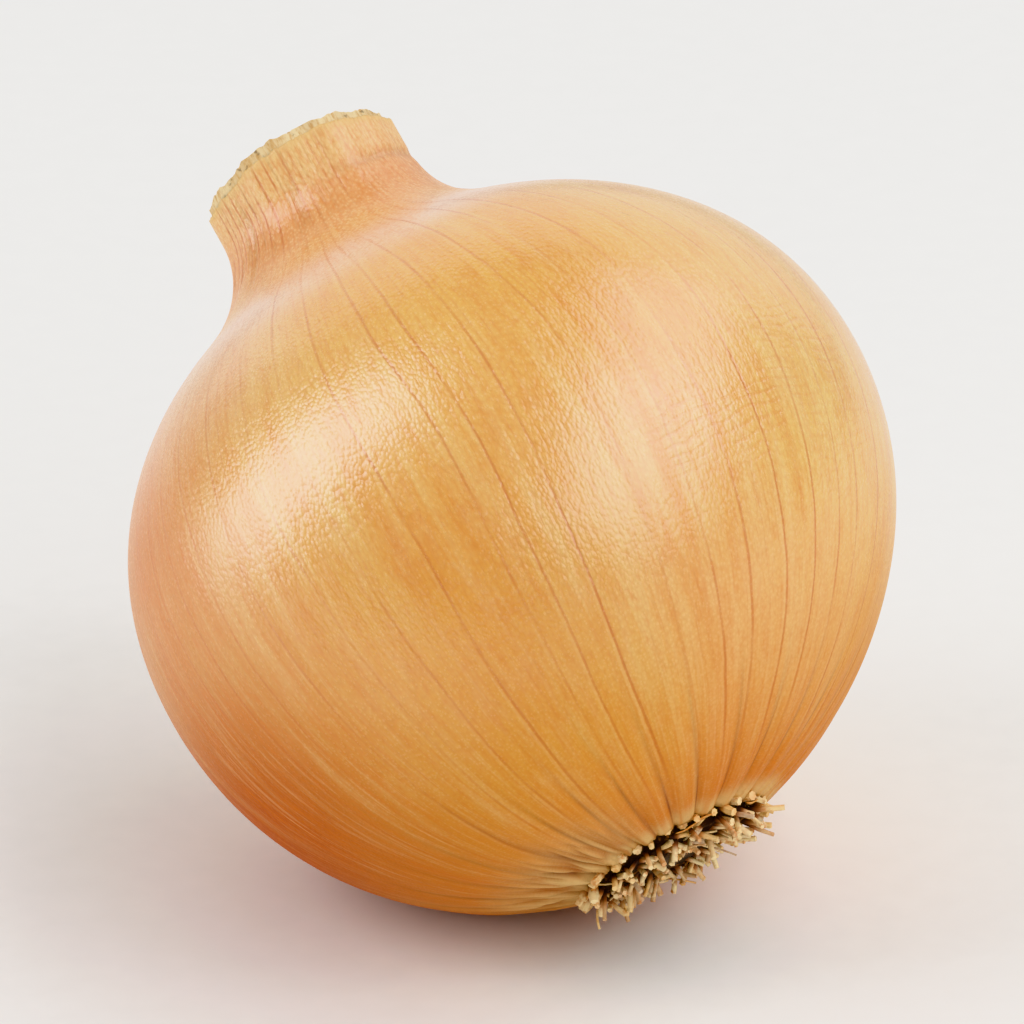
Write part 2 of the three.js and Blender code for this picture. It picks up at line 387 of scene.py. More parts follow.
# %% Finish helpers
def colour(red, green, blue):
    """A screen colour as the linear colour that a shader takes, by the sRGB curve."""
    def light(level):
        level = level / 255
        return level / 12.92 if level <= 0.04045 else ((level + 0.055) / 1.055) ** 2.4
    return (light(red), light(green), light(blue), 1.0)


def new_finish(name, constants):
    """A material whose Principled shader has constant sockets set. Gives it, its graph and shader."""
    material = bpy.data.materials.new(name)
    material.use_nodes = True
    graph = Graph(material.node_tree)
    shader = graph.feed(material.node_tree.nodes["Principled BSDF"], constants)
    return material, graph, shader


def stored(graph, name, output="Fac"):
    """What a shape tree stored on the mesh under a name."""
    return graph.add("ShaderNodeAttribute", {"attribute_name": name}, {}, output)


def in_place(graph):
    """Where a point is, for patterns that are alike in all directions."""
    return graph.add("ShaderNodeTexCoord", {}, {}, "Object")


def painted(graph, ground, layers):
    """Lays colours over a ground one after another, each by its share from 0 to 1."""
    tone = ground
    for share, paint in layers:
        tone = graph.mix(share, tone, paint)
    return tone


def bumped(graph, height, depth, strength=1.0):
    """A normal that a pattern of heights roughens, by a depth in metres."""
    return graph.add("ShaderNodeBump", {}, {"Strength": strength, "Distance": depth, "Height": height})


print("finish helpers ready")

# %% [markdown]
# ## The skin's finish
# The dry outer skin is thin, satin paper. Its colour is a golden patchwork, deeper orange towards
# the root, partly its own colour and partly painted shade, and pinker where it narrows to the
# neck. The deep orange low on the left is painted shade, and the left rim is painted darker and
# pinker, as painted shade and sheen. Pale cream patches where the lights fall, a pink patch low on
# the right and a pale rose band at the foot of the neck are painted highlights, and a pale rose
# rim high on the left is a painted sheen. Fibres run from root to neck, with red-brown veins every
# few millimetres that wander and fade. Both are drawn in the skin's own directions, round and
# along, so that they run together at the two ends as they do on the real bulb. The width of a vein
# is kept in millimetres by multiplying its angle by the girth. A fine leathery grain breaks up the
# highlights. Where the skin is taut it has a satin gloss, and towards the root and the neck it is
# dull, so two shaders with the same colour are mixed. The colours are laid on in layers, each by
# its own mask.

# %% Directions on the skin
skin, graph, shader = new_finish("onion skin", {
    "IOR": 1.7,
    "Specular IOR Level": 1.0,
    "Coat Weight": 0.7,
    "Coat Roughness": 0.2,
})
east, north, along = stored(graph, "meridian", "Vector").parts()
girth = stored(graph, "girth")
groove = stored(graph, "groove")
dry_edge = stored(graph, "dry_edge")


def facing(east, north, heading, half_width):
    """Is 1 at a heading round the axis and fades to 0 at half_width radians from it."""
    turn = heading - FRONT_HEADING
    toward = east * math.cos(turn) + north * math.sin(turn)
    return toward.between(math.cos(half_width), 1)


def from_front(turn, half_width):
    """The same on the skin, with the heading given as a turn from the front."""
    return facing(east, north, FRONT_HEADING + turn, half_width)


def patch(turn, half_width, middle, half_length):
    """A soft patch of the skin: its place and reach in radians round, then in radii along."""
    return from_front(turn, half_width) * along.band(middle, half_length)


def on_skin(across, lengthwise):
    """Pattern coordinates: how many features per radian round the bulb, and per radius along it."""
    return graph.vector(east * across, north * across, along * lengthwise)


def on_surface(across, lengthwise):
    """The same, but with features of one width from the belly to the narrow ends."""
    return graph.vector(east * girth * across, north * girth * across, along * lengthwise)


print("skin directions ready")

# %% Skin patterns
RUNG_SPACING = 0.95
RUNG_SWAY = 14

patches = graph.noise(on_skin(1.6, 1.0), detail=3.0)
blotches = graph.noise(on_skin(5, 3), detail=4.0, roughness=0.6)
tints = graph.noise(on_skin(16, 5), detail=3.0, roughness=0.6)
mottle = graph.noise(on_skin(24, 15), detail=3.0)
fibres = graph.noise(on_skin(80, 4), detail=3.0, roughness=0.6)
dashes = graph.noise(on_skin(115, 18), detail=2.0)
streaks = graph.noise(on_skin(15, 1.6), detail=3.0, roughness=0.6)

pebbles = graph.add(
    "ShaderNodeTexVoronoi",
    {"voronoi_dimensions": "3D", "feature": "F1"},
    {"Vector": on_surface(110, 64), "Scale": 1.0},
    "Distance",
)
scuffs = graph.noise(on_surface(78, 44), detail=2.0, roughness=0.6)
grain = (1 - pebbles) * 0.6 + scuffs * 0.4

rung_sway = graph.noise(on_skin(8, 6), detail=2.0) * RUNG_SWAY
rung_wave = (along * (math.tau * RADIUS_IN_MM / RUNG_SPACING) + rung_sway).math("SINE")
rung_breaks = graph.noise(on_skin(7, 5), detail=1.0).between(0.4, 0.65)
rungs = rung_wave.between(0.2, 1.0) * patch(0.78, 0.6, 1.15, 0.45) * rung_breaks
print("cross rungs every", RUNG_SPACING, "mm on the right")

# %% Skin veins
VEINS = 46
FINE_VEINS = 170
NECK_LINES = 58
VEIN_WIDTH = 0.2
FINE_VEIN_WIDTH = 0.14
NECK_LINE_WIDTH = 0.18
GLEAM_OFFSET = 0.3
VEIN_SHIVER = 0.07
SMALLEST_GIRTH = 0.2


def veins(count, width, wander, seed, aside=0.0):
    """Lines from root to neck at uneven spaces. The mask is 1 on a line, or aside of it in mm."""
    sway = graph.noise(on_skin(2.2, 1.1), detail=1.0) - 0.5
    shiver = graph.noise(on_skin(9, 7), detail=2.0) - 0.5
    around = north.math("ARCTAN2", east)
    place = around * (count / math.tau) + sway * wander + shiver * VEIN_SHIVER + seed
    spaces_per_mm = count / (math.tau * RADIUS_IN_MM)
    place = place + aside * spaces_per_mm / girth.math("MAXIMUM", SMALLEST_GIRTH)
    edge = graph.add(
        "ShaderNodeTexVoronoi",
        {"voronoi_dimensions": "1D", "feature": "DISTANCE_TO_EDGE"},
        {"W": place, "Scale": 1.0, "Randomness": 0.85},
    )
    distance = edge * girth / spaces_per_mm
    return 1 - distance.between(width * 0.2, width)


vein_side = 0.6 + 0.4 * from_front(0.7, 1.7)
vein_fading = 0.3 + 0.7 * graph.noise(on_skin(5, 2.2), detail=3.0).between(0.36, 0.6)
vein_end = 1 - along.between(1.4, 1.9) * 0.2
vein_strength = vein_fading * girth.between(0.2, 0.6) * vein_side * vein_end
main_veins = veins(VEINS, VEIN_WIDTH, wander=0.7, seed=3.7) * vein_strength
vein_gleam = veins(VEINS, VEIN_WIDTH, wander=0.7, seed=3.7, aside=GLEAM_OFFSET) * vein_strength
fine_fading = graph.noise(on_skin(9, 3), detail=2.0).between(0.45, 0.75)
fine_strength = fine_fading * girth.between(0.3, 0.6)
fine_veins = veins(FINE_VEINS, FINE_VEIN_WIDTH, wander=1.6, seed=41.3) * fine_strength
neck_side = 0.35 + 0.65 * from_front(-0.9, 1.5)
neck_fading = graph.noise(on_skin(7, 6), detail=2.0).between(0.35, 0.6) * neck_side
near_lip = along.between(SKIN_END - 0.4, SKIN_END - 0.13)
neck_lines = veins(NECK_LINES, NECK_LINE_WIDTH, wander=0.5, seed=17.9) * near_lip * neck_fading
print("about", VEINS, "veins,", FINE_VEINS, "fine veins and", NECK_LINES, "lines at the neck")

# %% Zones of the skin
# Deeper orange towards the root: partly the skin's own colour, partly painted shade.
root_flush_and_shade = 1 - along.between(0.1, 1.05)
root_rust = 1 - along.between(0.0, 0.32)
# The deep orange low on the left is painted shade.
low_left_shade = patch(-1.7, 1.35, 0.85, 0.95)
low_gold = patch(-0.15, 0.9, 0.85, 0.7)
# A pink patch low on the right is a painted highlight.
low_pink_highlight = patch(0.75, 0.6, 0.6, 0.5)
upper_gold = patch(0.2, 1.2, 1.7, 0.6)
# Pale cream patches where the lights fall on the left and the right are painted highlights.
right_painted_highlight = patch(0.65, 0.9, 1.0, 0.85)
left_painted_highlight = patch(-0.45, 0.8, 1.5, 0.5)
painted_highlights = (right_painted_highlight + left_painted_highlight) * (0.3 + 0.7 * streaks.between(0.35, 0.65))
# The left rim is painted darker and pinker: painted shade and sheen.
left_rim_shade_and_sheen = patch(-1.5, 1.0, 1.65, 0.6)
# A pale rose rim high on the left is a painted sheen.
left_rim_sheen = patch(-1.1, 1.0, 2.0, 0.4)
neck_blush = along.between(2.05, 2.5)
# A pale rose band at the foot of the neck is a painted highlight.
neck_foot_highlight = along.band(2.2, 0.22) * (0.1 + 0.9 * from_front(0.2, 2.0))
neck_middle = along.band(SKIN_END - 0.2, 0.14)
neck_top = along.between(SKIN_END - 0.15, SKIN_END - 0.06)
print("skin zones ready")

# %% Paint the skin
GOLD = colour(230, 165, 68)
BRIGHT_GOLD = colour(230, 183, 88)
DEEP_GOLD = colour(222, 144, 46)
AMBER = colour(212, 116, 28)
DEEP_AMBER = colour(180, 74, 10)
RUSSET = colour(116, 46, 12)
BLUSH = colour(200, 116, 80)
ROSE = colour(247, 216, 194)
PALE_PINK = colour(232, 180, 122)
NECK_TAN = colour(232, 181, 132)
CREAM = colour(238, 209, 140)
STRAW = colour(224, 192, 132)
FLECK = colour(246, 208, 146)
VEIN = colour(194, 98, 34)

zone_layers = [
    (patches.between(0.36, 0.66), BRIGHT_GOLD),
    (upper_gold * 0.5, BRIGHT_GOLD),
    (blotches.between(0.5, 0.75) * 0.25, AMBER),
    (root_flush_and_shade * (0.7 - right_painted_highlight * 0.4), AMBER),
    (root_rust * 0.35, DEEP_AMBER),
    (low_left_shade * 0.95, DEEP_AMBER),
    (low_gold * 0.5, DEEP_GOLD),
    (streaks.between(0.5, 0.72) * 0.2, CREAM),
    ((1 - streaks.between(0.3, 0.48)) * 0.2, AMBER),
    (painted_highlights * 0.5, CREAM),
    (low_pink_highlight * 0.45, PALE_PINK),
    (left_rim_shade_and_sheen * 0.6, BLUSH),
    (left_rim_sheen * 0.4, ROSE),
    (neck_blush * 0.7, NECK_TAN),
    (neck_foot_highlight * 0.85, ROSE),
    (neck_middle * 0.3, AMBER),
    (neck_top * 0.5, CREAM),
]
texture_layers = [
    (tints.between(0.45, 0.7) * (0.2 - upper_gold * 0.14) * (1 - low_left_shade), PALE_PINK),
    (mottle.between(0.5, 0.72) * 0.18, AMBER),
    (fibres.between(0.48, 0.7) * (0.18 + low_left_shade * 0.3), AMBER),
    ((1 - fibres.between(0.32, 0.46)) * (0.12 + low_left_shade * 0.12), FLECK),
    (dashes.between(0.52, 0.75) * 0.2, AMBER),
    ((1 - grain.between(0.3, 0.55)) * (0.16 + neck_blush * 0.14), AMBER),
    (grain.between(0.5, 0.8) * (0.08 + neck_blush * 0.22) * (1 - low_left_shade * 0.9), FLECK),
    (rungs * 0.2, AMBER),
]
line_layers = [
    (fine_veins * 0.18, VEIN),
    (vein_gleam * 0.14, FLECK),
    (main_veins * 0.6, VEIN),
    (neck_lines * 0.65, VEIN),
    (groove * 0.95, RUSSET),
    (dry_edge * 0.85, STRAW),
]
layers = zone_layers + texture_layers + line_layers
tone = painted(graph, GOLD, layers)
print("skin painted in", len(layers), "layers")

# %% Gloss of the skin
SKIN_RELIEF = 0.095 * MM

lines = main_veins * 0.12 + fine_veins * 0.08 + neck_lines * 0.3
height = fibres * 0.4 + dashes * 0.2 + grain * 0.9 + mottle * 0.2 - rungs * 0.22 - lines
bump = bumped(graph, height, SKIN_RELIEF)
taut = 0.1 + 0.9 * along.between(0.4, 1.2)
gloss = (0.75 + patches * 0.25) * taut * (1 - low_left_shade * 0.95)
gloss = gloss * (1 - dry_edge) * (1 - neck_blush * 0.45) * (1 - left_rim_shade_and_sheen * 0.5)
graph.feed(shader, {"Base Color": tone, "Roughness": 0.21 + grain * 0.1, "Normal": bump})
dull = graph.add("ShaderNodeBsdfPrincipled", {}, {
    "Specular IOR Level": 0.25,
    "Base Color": tone,
    "Roughness": 0.5 + grain * 0.2,
    "Normal": bump,
})
satin = Value(graph, shader.outputs["BSDF"])
surface = graph.add("ShaderNodeMixShader", {}, {0: gloss, 1: dull, 2: satin})
graph.feed(skin.node_tree.nodes["Material Output"], {"Surface": surface})
print("skin finish ready")

# %% [markdown]
# ## Growth
# The waves round the axis repeat those of the solid, so the fine bulb keeps its form. What is new
# is small: sharp valleys between the pleats, wrinkles in the neck, uneven edges, and soft dents
# that make the light wander. The tree also stores the depth of the folds, which the finish paints
# darker, and how near the dry edges are, because the skin turns to straw there.

# %% Growth rule
BULGE = 1.7 * MM
NECK_OFFSET = 0.5 * MM
LOBES = [(2, 0.45 * MM, 0.6), (3, 0.3 * MM, 2.2)]
NECK_RIDGES = [(7, 0.15 * MM, 1.0), (13, 0.11 * MM, 0.4)]
PLEAT_DRIFT = [(3, 0.5, -math.pi / 2), (5, 0.4, 0.4)]
CUT_WAVE = [(2, 0.45 * MM, 3.0)]
NECK_FLATTENING = 0.07
NECK_OVAL_HEADING = math.radians(60)
PLEATS = 30
PLEAT_REACH = 0.8
PLEAT_ROUNDNESS = 0.7
VALLEY_SHARPNESS = 7


def directions(graph):
    """The direction round the axis and the way along the outline, for a shape tree."""
    settings = {"data_type": "FLOAT_VECTOR"}
    sockets = {"Name": "meridian"}
    return graph.add("GeometryNodeInputNamedAttribute", settings, sockets).parts()


def waves(angle, rows):
    """A sum of waves round the axis. A row is the number of waves, their height and their phase."""
    return sum((angle * count + phase).math("COSINE") * height for count, height, phase in rows)


def grown(graph, position, pleat_height):
    """Where growth has moved a point of the turned bulb, and how deep it lies in a pleat."""
    x, y, z = position.parts()
    angle = y.math("ARCTAN2", x)
    radius = graph.vector_math("LENGTH", graph.vector(x, y, 0)).sibling("Value")
    girth = radius / EQUATOR_RADIUS
    rootward = z.math("LESS_THAN", 0)
    in_socket = rootward * radius.math("LESS_THAN", (SOCKET_RADIUS + ROOT_RIM_RADIUS) / 2)
    gathered = rootward * (1 - girth.between(ROOT_RIM_RADIUS / EQUATOR_RADIUS, PLEAT_REACH))
    half_turn = (angle * PLEATS + waves(angle, PLEAT_DRIFT)) * 0.5
    rib = half_turn.math("COSINE").math("ABSOLUTE")
    pleat = (rib ** PLEAT_ROUNDNESS * 2 - 1) * gathered * pleat_height
    neck = z.between(SHOULDER_HEIGHT, NECK_WAIST_HEIGHT)
    cut = z.between(NECK_WAIST_HEIGHT, NECK_HEIGHT)
    ridge = neck * waves(angle, NECK_RIDGES) / NECK_RADIUS
    oval = (angle - NECK_OVAL_HEADING).math("COSINE") ** 2 * neck * NECK_FLATTENING
    aside = girth ** 2 * BULGE + neck * NECK_OFFSET
    swell = 1 + (waves(angle, LOBES) * girth ** 2 + pleat) / EQUATOR_RADIUS
    stretch = swell * (1 + ridge - oval)
    moved = graph.vector(
        x * stretch + aside * math.cos(RIGHT_HEADING),
        y * stretch + aside * math.sin(RIGHT_HEADING),
        z * swell + cut * waves(angle, CUT_WAVE) * radius / NECK_RADIUS,
    )
    kept = graph.mix(in_socket, moved, position, "VECTOR")
    return kept, (1 - rib) ** VALLEY_SHARPNESS * gathered


def scaled(graph, vector, length):
    """A vector that is made length times as long."""
    node = graph.vector_math("SCALE", vector)
    graph.feed(node.socket.node, {"Scale": length})
    return node


print("growth rule ready")

# %% Grow the bulb
BULB_SIZES = {
    "Pleat Height": 0.26 * MM,
    "Neck Wrinkle": 0.09 * MM,
    "Gathers": 0.5 * MM,
    "Dents": 0.16 * MM,
    "Ragged Lip": 0.9 * MM,
    "Ragged Rim": 0.8 * MM,
    "Neck Crease": 0.16 * MM,
}
GATHER_HEADING = FRONT_HEADING - 1.1
CREASE_HEADING = FRONT_HEADING + 1.0


def grow_bulb(material):
    graph, size = shape_tree("bulb_growth", BULB_SIZES)
    position = graph.add("GeometryNodeInputPosition")
    normal = graph.add("GeometryNodeInputNormal")
    east, north, along = directions(graph)

    def pattern(across, lengthwise):
        return graph.vector(east * across, north * across, along * lengthwise)

    def creases(pattern_noise, width):
        """Is 1 along the lines where a noise crosses its middle."""
        return 1 - (pattern_noise * 2 - 1).math("ABSOLUTE").between(0, width)

    body, valley = grown(graph, position, size["Pleat Height"])
    on_neck = along.between(SKIN_END - 0.42, SKIN_END - 0.1)
    left_share = 0.35 + 0.65 * facing(east, north, LEFT_HEADING + 0.5, 1.6)
    wrinkle = creases(graph.noise(pattern(9, 1.0), detail=2.0), 0.06) * on_neck * left_share
    near_rim = 1 - along.between(0.06, 0.34)
    gathered = near_rim * facing(east, north, GATHER_HEADING, 1.1)
    gather = creases(graph.noise(pattern(15, 3), detail=2.0), 0.3) * gathered
    dents = graph.noise(pattern(3.4, 0.8), detail=2.0) - 0.5
    crease = along.band(SKIN_END - 0.12, 0.025) * facing(east, north, CREASE_HEADING, 0.9)
    relief = (
        dents * size["Dents"]
        - wrinkle * size["Neck Wrinkle"]
        - gather * size["Gathers"]
        - crease * size["Neck Crease"]
    )
    outside = along.math("GREATER_THAN", 0) * along.math("LESS_THAN", SKIN_END + 0.001)
    pushed = scaled(graph, normal, relief * outside)
    past_lip = along.between(SKIN_END + 0.02, SKIN_END + 0.05)
    at_lip = along.between(SKIN_END - 0.05, SKIN_END) * (1 - past_lip)
    at_rim = along.band(0, 0.06)
    lip_noise = graph.noise(pattern(6, 0), detail=4.0, roughness=0.65) - 0.5
    rim_noise = graph.noise(pattern(8, 0), detail=3.0, roughness=0.6) - 0.5
    ragged = lip_noise * at_lip * size["Ragged Lip"] + rim_noise * at_rim * size["Ragged Rim"]
    offset = graph.vector_math("ADD", pushed, graph.vector(0, 0, ragged))
    sockets = {"Geometry": size["Geometry"], "Position": body, "Offset": offset}
    placed = graph.add("GeometryNodeSetPosition", {}, sockets)
    folds = valley + wrinkle * 0.2 + crease * 0.2 + gather * 0.6
    rim_wear = graph.noise(pattern(16, 5), detail=2.0).between(0.3, 0.55)
    rim_straw = (1 - along.between(0.02, 0.1)) * (1 - valley) * (0.3 + rim_wear * 0.6)
    gather_straw = gathered * (1 - gather)
    lip_straw = along.between(SKIN_END - 0.03, SKIN_END) * 0.7
    dry_edge = rim_straw.math("MAXIMUM", lip_straw).math("MAXIMUM", gather_straw)
    marked = store(graph, placed, "groove", folds.math("MINIMUM", 1))
    marked = store(graph, marked, "dry_edge", dry_edge)
    finish_tree(graph, marked, material)
    return run_tree(graph, BULB_SIZES, "bulb_skin", turned_bulb)


bulb_skin = grow_bulb(skin)

# %% [markdown]
# ## Laying the onion down
# The solid of the bulb says where the onion lies. The fine bulb is turned to the same attitude
# and moved so that the middles of the two boxes agree, with its lowest point as far under the
# floor as the flat spot is deep. Whatever is below the floor is pressed flat. The other pieces
# take the same move.

# %% Find the place
def corners(mesh):
    """The lowest and highest corner of a mesh's box."""
    points = [v.co for v in mesh.vertices]
    low = Vector([min(p[i] for p in points) for i in range(3)])
    high = Vector([max(p[i] for p in points) for i in range(3)])
    return low, high


bulb_skin.data.transform(attitude)
fine_low, fine_high = corners(bulb_skin.data)
solid_low, solid_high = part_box("bulb")
centre = (solid_low + solid_high - fine_low - fine_high) / 2
centre.z = -FLAT_SPOT_DEPTH - fine_low.z
for vertex in bulb_skin.data.vertices:
    vertex.co += centre
    vertex.co.z = max(vertex.co.z, 0)


def lay_down(piece):
    """Moves a piece that was made upright to where it lies on the onion."""
    piece.data.transform(attitude)
    for vertex in piece.data.vertices:
        vertex.co += centre
    return piece


print("centre of the bulb in mm:", [round(v / MM, 2) for v in centre])

# %% [markdown]
# ## The cut neck
# Inside the skin's lip stand the dry leaf sheaths, one in another, pale as straw where the knife
# went through. They are pressed together, with a few dark gaps. They could be separate rings, but
# they are crumpled and grown together, so here they are one turned disc that a tree raises into
# ridges. The distance from the edge, disturbed by noise, says which sheath a point belongs to,
# and each sheath gets a height and a ragged top of its own. Down in the gaps and low on each
# sheath the paper is painted dark, as painted shade.

# %% Sheath finish
SHEATH_PALE = colour(238, 216, 170)
SHEATH_TAN = colour(206, 160, 98)
SHEATH_BROWN = colour(172, 118, 66)
SHEATH_DEEP = colour(84, 50, 24)
SHEATH_RELIEF = 0.08 * MM

sheath_paper, graph, shader = new_finish("dry sheath", {"IOR": 1.4})
stand = stored(graph, "stand")
tint = stored(graph, "tint")
threads = graph.noise(stored(graph, "threads", "Vector"), detail=3.0, roughness=0.6)
specks = graph.noise(in_place(graph), scale=1400, detail=3.0)
# Low on each sheath and down in the gaps the colour turns dark: painted shade.
gap = 1 - (stand + (threads - 0.5) * 0.3).between(0.45, 0.8)
tone = painted(graph, SHEATH_PALE, [
    (threads.between(0.4, 0.75), SHEATH_TAN),
    (tint.between(0.45, 0.65) * 0.7, SHEATH_TAN),
    ((1 - tint.between(0.32, 0.45)) * 0.6, SHEATH_BROWN),
    (gap, SHEATH_DEEP),
    (specks.between(0.56, 0.68) * 0.6, SHEATH_DEEP),
])
bump = bumped(graph, threads, SHEATH_RELIEF, strength=0.7)
graph.feed(shader, {"Base Color": tone, "Roughness": 0.7 + threads * 0.2, "Normal": bump})
print("sheath finish ready")

# %% Raise the sheaths
SHEATH_RADIUS = 9.05 * MM
SHEATH_FOOT = NECK_HEIGHT - NECK_WELL_DEPTH - 0.4 * MM
SHEATH_FLOOR = NECK_HEIGHT - 2.0 * MM
SHEATH_MERIDIANS = 240
SHEATH_ROWS = 84
SHEATH_SIZES = {
    "Spacing": 1.05 * MM,
    "Rise": 1.0 * MM,
    "Fall": 1.7 * MM,
    "Ragged Top": 1.9 * MM,
    "Crumple": 3.2,
    "Gap Share": 0.5,
    "Spread": 0.7 * MM,
}


def raise_sheaths(material):
    foot = [(0, SHEATH_FOOT)] + straight((0, SHEATH_FOOT), (SHEATH_RADIUS, SHEATH_FOOT), CAP_ROWS)
    wall = straight((SHEATH_RADIUS, SHEATH_FOOT), (SHEATH_RADIUS, SHEATH_FLOOR), WELL_ROWS)
    top = straight((SHEATH_RADIUS, SHEATH_FLOOR), (0, SHEATH_FLOOR), SHEATH_ROWS)
    disc = turned("neck_sheaths", foot + wall + top, SHEATH_MERIDIANS, len(foot + wall) - 1)
    graph, size = shape_tree("sheath_ridges", SHEATH_SIZES)
    position = graph.add("GeometryNodeInputPosition")
    east, north, along = directions(graph)

    def pattern(across, third):
        return graph.vector(east * across, north * across, third)

    inward = along * EQUATOR_RADIUS / size["Spacing"]
    on_top = along.math("GREATER_THAN", 0)
    inner = 0.2 + 0.8 * inward.between(0, 2.0)
    crumple = graph.noise(pattern(1.9, inward * 0.4), detail=3.0) - 0.5
    count = inward + 0.25 + crumple * inner * size["Crumple"]
    ring = count.math("FLOOR")
    place = count.math("FRACT")
    openness = graph.noise(pattern(2.2, ring * 1.9), detail=2.0)
    gap = openness.between(0.45, 0.75) * size["Gap Share"]
    stand = place.between(0, 0.14) * (1 - place.between(1 - gap, 1.12 - gap)) * on_top
    ragged = graph.noise(pattern(3, ring * 3.7), detail=4.0, roughness=0.6) - 0.5
    share = along * EQUATOR_RADIUS / SHEATH_RADIUS
    top = NECK_HEIGHT - SHEATH_FLOOR + size["Rise"] - share * size["Fall"] + ragged * size["Ragged Top"]
    x, y, z = position.parts()
    spread = graph.noise(pattern(2.6, 4.0), detail=3.0) - 0.4
    widened = 1 + spread * (1 - inward.between(0, 3)) * size["Spread"] / SHEATH_RADIUS
    raised = graph.vector(x * widened, y * widened, z + stand * top)
    body, _ = grown(graph, raised, 0.0)
    placed = graph.add("GeometryNodeSetPosition", {}, {"Geometry": size["Geometry"], "Position": body})
    marked = store(graph, placed, "stand", stand)
    marked = store(graph, marked, "tint", graph.noise(pattern(1, ring * 2.3), detail=2.0))
    threads = pattern(26, z * 900 + ring * 5)
    marked = store(graph, marked, "threads", threads, "FLOAT_VECTOR")
    finish_tree(graph, marked, material)
    return lay_down(run_tree(graph, SHEATH_SIZES, "neck_sheaths", disc))


neck_sheaths = raise_sheaths(sheath_paper)

# %% [markdown]
# ## The root end
# At the other end the leaves grow from a corky plate, and the roots from its edge and face.
# Sellers clip the dried roots, which leaves a shallow mat of straw-coloured stubble with dark
# gaps, round a grey middle. The plate is a turned piece that noise roughens. The roots are many
# of one kind, so one tree makes them all from curves: thick stubs under the skin's edge, short
# clipped rootlets over the face, and a few hair roots that were missed.

# %% Rootlet finish
ROOT_STRAW = colour(255, 234, 182)
ROOT_GOLD = colour(236, 186, 108)
ROOT_TAN = colour(216, 142, 80)
ROOT_RUST = colour(176, 96, 44)
ROOT_BROWN = colour(44, 17, 7)
ROOT_GREY = colour(190, 160, 144)
ROOT_RELIEF = 0.1 * MM

root_straw, graph, shader = new_finish("dry rootlets", {"IOR": 1.4})
tint = stored(graph, "tint")
reach = stored(graph, "reach")
grain = graph.noise(in_place(graph), scale=1500, detail=3.0, roughness=0.6)
stains = graph.noise(in_place(graph), scale=420, detail=2.0)
tone = painted(graph, ROOT_STRAW, [
    (grain.between(0.45, 0.75), ROOT_TAN),
    (tint.band(0.62, 0.2) * 0.6, ROOT_GOLD),
    (tint.between(0.8, 1.0) * 0.6, ROOT_GREY),
    ((1 - tint.between(0.0, 0.25)) * 0.5, ROOT_RUST),
    (stains.between(0.5, 0.72) * 0.45, ROOT_TAN),
    # Towards its foot each root turns rust and then dark brown: painted shade where the roots crowd.
    (1 - reach.between(0.28, 0.7), ROOT_RUST),
    (1 - reach.between(0.15, 0.52), ROOT_BROWN),
])
bump = bumped(graph, grain, ROOT_RELIEF, strength=0.8)
graph.feed(shader, {"Base Color": tone, "Roughness": 0.45 + grain * 0.3, "Normal": bump})
print("rootlet finish ready")

# %% Cork finish
PLATE_BROWN = colour(40, 20, 12)
PLATE_GREY = colour(92, 78, 64)
CORK_RELIEF = 0.2 * MM

root_cork, graph, shader = new_finish("root plate", {"IOR": 1.4})
cork = graph.noise(in_place(graph), scale=700, detail=4.0, roughness=0.65)
tone = painted(graph, PLATE_GREY, [
    (stored(graph, "girth").between(0.02, 0.13), PLATE_BROWN),
    (cork.between(0.55, 0.72) * 0.7, ROOT_TAN),
])
bump = bumped(graph, cork, CORK_RELIEF)
graph.feed(shader, {"Base Color": tone, "Roughness": 0.8 + cork * 0.15, "Normal": bump})
print("cork finish ready")

# %% Root plate
PLATE_RADIUS = 8.4 * MM
PLATE_FACE_RADIUS = 7.1 * MM
PLATE_FACE_HEIGHT = RIM_HEIGHT - 0.7 * MM
PLATE_DOME = 0.3 * MM
PLATE_BACK_HEIGHT = RIM_HEIGHT + SOCKET_DEPTH - 0.1 * MM
PLATE_MERIDIANS = 120
PLATE_FACE_ROWS = 36
PLATE_SIZES = {"Cork": 0.7 * MM, "Lumps": 900.0}


def roughen_plate(material):
    edge = (PLATE_FACE_RADIUS, PLATE_FACE_HEIGHT)
    dome = (PLATE_FACE_RADIUS / 2, PLATE_FACE_HEIGHT - PLATE_DOME)
    face = [(0, PLATE_FACE_HEIGHT - PLATE_DOME)]
    face += curve(face[0], dome, dome, edge, PLATE_FACE_ROWS)
    side = straight(edge, (PLATE_RADIUS, PLATE_BACK_HEIGHT), WELL_ROWS)
    back = straight(side[-1], (0, PLATE_BACK_HEIGHT), CAP_ROWS)
    disc = turned("root_plate", face + side + back, PLATE_MERIDIANS)
    graph, size = shape_tree("cork_relief", PLATE_SIZES)
    position = graph.add("GeometryNodeInputPosition")
    normal = graph.add("GeometryNodeInputNormal")
    lumps = graph.noise(position, scale=size["Lumps"], detail=3.0, roughness=0.6) - 0.6
    offset = scaled(graph, normal, lumps * size["Cork"])
    sockets = {"Geometry": size["Geometry"], "Offset": offset}
    placed = graph.add("GeometryNodeSetPosition", {}, sockets)
    finish_tree(graph, placed, material)
    return lay_down(run_tree(graph, PLATE_SIZES, "root_plate", disc))


root_plate = roughen_plate(root_cork)

